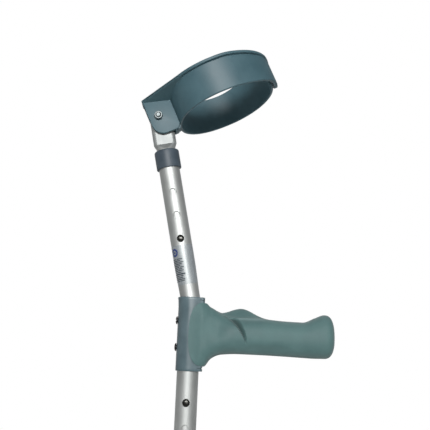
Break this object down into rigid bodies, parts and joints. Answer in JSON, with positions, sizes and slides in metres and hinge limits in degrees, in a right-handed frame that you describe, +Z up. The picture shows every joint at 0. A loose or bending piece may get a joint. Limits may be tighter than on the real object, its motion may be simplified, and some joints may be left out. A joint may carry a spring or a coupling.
{
  "type": "forearm crutch",
  "caption": "Forearm crutch with a nearly closed pivoting cuff, an anatomical hand grip and telescopic leg and forearm tubes locked by snap buttons.",
  "frame": {"origin": "middle of the palm on the hand grip's axis, 75 mm in front of the tube axis", "axes": "+Z up along the lower tube, +X forward along the grip from tube to grip end, +Y to the left, the far side from the snap buttons"},
  "size_m": [0.2108, 0.1212, 1.043],
  "materials": {
    "anodised_aluminium": "satin anodised",
    "teal_plastic": "moulded, matte",
    "soft_grip": "soft moulded elastomer",
    "collar_plastic": "moulded, matte",
    "plated_steel": "zinc plated",
    "spring_steel": "rolled strip",
    "black_steel": "blackened",
    "ferrule_rubber": "moulded rubber",
    "clear_film": "clear film"
  },
  "bodies": {
    "frame": {"main_tube": "anodised_aluminium", "handle_sleeve": "teal_plastic", "hand_grip": "soft_grip", "upper_rivet": "black_steel", "lower_rivet": "black_steel", "upper_collar": "collar_plastic", "lower_collar": "collar_plastic", "blank_label": "clear_film"},
    "leg": {"leg_tube": "anodised_aluminium", "ferrule": "ferrule_rubber", "ferrule_washer": "plated_steel", "leg_button_clip": "spring_steel"},
    "leg_button": {"leg_button": "plated_steel"},
    "forearm": {"forearm_tube": "anodised_aluminium", "pivot_spacer": "plated_steel", "forearm_button_clip": "spring_steel"},
    "forearm_button": {"forearm_button": "plated_steel"},
    "cuff": {"cuff": "teal_plastic", "pivot_bolt": "plated_steel", "pivot_nut": "plated_steel", "near_pivot_washer": "collar_plastic", "far_pivot_washer": "collar_plastic"}
  },
  "joints": [
    {"name": "leg_height", "type": "slide", "parent": "frame", "child": "leg", "axis": [0, 0, -1], "range_m": [0, 0.225], "deforming": ["leg_button", "leg_button_clip"]},
    {"name": "leg_button_press", "type": "slide", "parent": "leg", "child": "leg_button", "axis": [0, 1, 0], "range_m": [0, 0.0032], "stiffness_N_per_m": 1500, "springref_m": -0.002, "deforming": ["leg_button_clip"]},
    {"name": "forearm_height", "type": "slide", "parent": "frame", "child": "forearm", "axis": [-0.2079, 0, 0.9781], "range_m": [0, 0.05], "deforming": ["forearm_button", "forearm_button_clip"]},
    {"name": "forearm_button_press", "type": "slide", "parent": "forearm", "child": "forearm_button", "axis": [0, 1, 0], "range_m": [0, 0.0032], "stiffness_N_per_m": 1500, "springref_m": -0.002, "deforming": ["forearm_button_clip"]},
    {"name": "cuff_tilt", "type": "hinge", "parent": "forearm", "child": "cuff", "pos_m": [-0.11864, 0, 0.2282], "axis": [0, -1, 0], "range_deg": [0, 30]}
  ]
}
